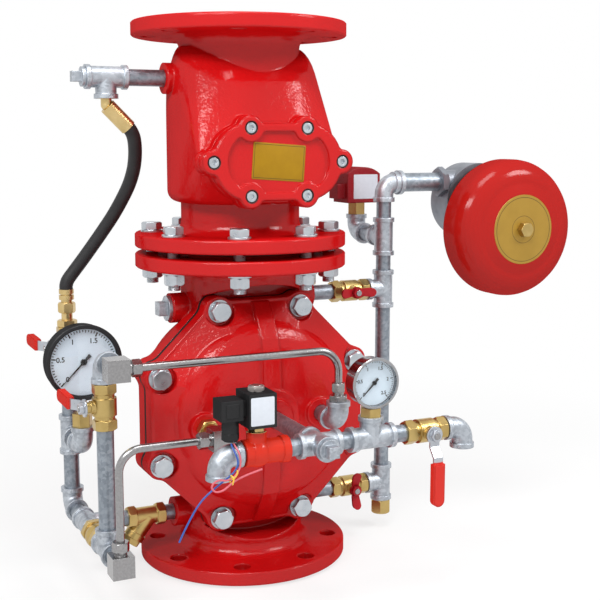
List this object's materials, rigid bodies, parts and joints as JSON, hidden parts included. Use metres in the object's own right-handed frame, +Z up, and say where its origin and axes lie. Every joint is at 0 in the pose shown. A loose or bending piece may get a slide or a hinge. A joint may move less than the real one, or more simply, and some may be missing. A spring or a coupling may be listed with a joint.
{
  "type": "sprinkler alarm valve",
  "caption": "Red flanged diaphragm alarm valve for a sprinkler main, with a swing check valve on top, brass and galvanised trim, gauges, solenoid and a water gong.",
  "frame": {"origin": "centre of the inlet flange, on its lower sealing face", "axes": "+Z up along the main pipe, from inlet to outlet; -Y to the front, where the bonnet, the cover and the gong face; +X to the right, towards the gong"},
  "size_m": [0.775, 0.459, 0.73],
  "materials": {
    "red_enamel": "glossy enamel over a sand casting",
    "gong_red": "glossy stove enamel",
    "solenoid_red": "gloss",
    "grip_red": "dipped vinyl over plated steel",
    "zinc_steel": "bright zinc plate",
    "galvanised": "hot-dip galvanised",
    "brass": "cast and turned",
    "gold_zinc": "yellow passivated zinc",
    "stainless": "satin",
    "clapper_iron": "as cast",
    "rubber": "matt",
    "gasket": "matt fibre",
    "black_case": "satin",
    "pointer_black": "matt",
    "red_insulation": "satin",
    "blue_insulation": "satin",
    "maroon": "semi-gloss",
    "motor_aluminium": "die cast"
  },
  "bodies": {
    "valve": {"valve_body": "red_enamel", "seat_ring": "brass", "diaphragm": "rubber", "return_spring": "stainless", "bonnet": "red_enamel", "bonnet_bolts": "zinc_steel", "flange_gasket": "gasket", "flange_bolts": "zinc_steel", "flange_nuts": "zinc_steel", "check_body": "red_enamel", "check_seat": "brass", "hinge_pin": "stainless", "check_cover": "red_enamel", "cover_gasket": "gasket", "cover_screws": "zinc_steel", "pipe_nipples": "galvanised", "pipe_tees": "galvanised", "pipe_elbows": "galvanised", "pipe_plugs": "zinc_steel", "brass_adaptors": "brass", "hose": "rubber", "hose_ferrules": "gold_zinc", "front_valve_body": "brass", "rear_valve_body": "brass", "drain_valve_body": "brass", "alarm_valve_body": "brass", "test_valve_body": "brass", "strainer_body": "brass", "strainer_cap": "brass", "strainer_screen": "stainless", "check_fitting": "brass", "control_tubes": "stainless", "tube_fittings": "stainless", "supply_gauge": "black_case", "chamber_gauge": "stainless", "solenoid_body": "solenoid_red", "solenoid_coil": "black_case", "coil_connector": "black_case", "red_wire": "red_insulation", "blue_wire": "blue_insulation", "pressure_switch": "maroon", "gong_motor": "motor_aluminium", "gong_bell": "gong_red"},
    "plate": {"diaphragm_plate": "stainless"},
    "clapper": {"clapper": "clapper_iron", "clapper_seal": "rubber"},
    "front_lever": {"front_valve_lever": "grip_red", "front_valve_ball": "stainless"},
    "rear_lever": {"rear_valve_lever": "grip_red", "rear_valve_ball": "stainless"},
    "drain_lever": {"drain_valve_lever": "grip_red", "drain_valve_ball": "stainless"},
    "alarm_handle": {"alarm_valve_handle": "grip_red", "alarm_valve_ball": "stainless"},
    "test_handle": {"test_valve_handle": "grip_red", "test_valve_ball": "stainless"},
    "supply_pointer": {"supply_needle": "pointer_black"},
    "chamber_pointer": {"chamber_needle": "pointer_black"},
    "striker": {"striker": "brass"},
    "plunger": {"solenoid_plunger": "stainless"}
  },
  "joints": [
    {"name": "diaphragm_lift", "type": "slide", "parent": "valve", "child": "plate", "axis": [0, -1, 0], "range_m": [0, 0.024], "stiffness_N_per_m": 2000, "deforming": ["diaphragm", "return_spring"]},
    {"name": "clapper_swing", "type": "hinge", "parent": "valve", "child": "clapper", "pos_m": [0, 0.076, 0.54], "axis": [-1, 0, 0], "range_deg": [0, 50]},
    {"name": "front_lever_turn", "type": "hinge", "parent": "valve", "child": "front_lever", "pos_m": [-0.221, -0.1, 0.2525], "axis": [-1, 0, 0], "range_deg": [0, 90]},
    {"name": "rear_lever_turn", "type": "hinge", "parent": "valve", "child": "rear_lever", "pos_m": [-0.221, 0.084, 0.294], "axis": [-1, 0, 0], "range_deg": [0, 90]},
    {"name": "drain_lever_turn", "type": "hinge", "parent": "valve", "child": "drain_lever", "pos_m": [0.147, -0.243, 0.215], "axis": [0, -1, 0], "range_deg": [0, 90]},
    {"name": "alarm_handle_turn", "type": "hinge", "parent": "valve", "child": "alarm_handle", "pos_m": [0.1665, 0, 0.36], "axis": [0, -1, 0], "range_deg": [0, 90]},
    {"name": "test_handle_turn", "type": "hinge", "parent": "valve", "child": "test_handle", "pos_m": [0.1665, 0, 0.07], "axis": [0, -1, 0], "range_deg": [0, 90]},
    {"name": "supply_pointer_turn", "type": "hinge", "parent": "valve", "child": "supply_pointer", "pos_m": [-0.221, 0.022, 0.289], "axis": [0, 1, 0], "range_deg": [0, 270]},
    {"name": "chamber_pointer_turn", "type": "hinge", "parent": "valve", "child": "chamber_pointer", "pos_m": [0.071, -0.23, 0.2845], "axis": [0, 1, 0], "range_deg": [0, 270]},
    {"name": "striker_spin", "type": "hinge", "parent": "valve", "child": "striker", "pos_m": [0.404, 0, 0.446], "axis": [0, -1, 0], "continuous": true},
    {"name": "plunger_lift", "type": "slide", "parent": "valve", "child": "plunger", "axis": [0, 0, 1], "range_m": [0, 0.004], "stiffness_N_per_m": 500}
  ]
}
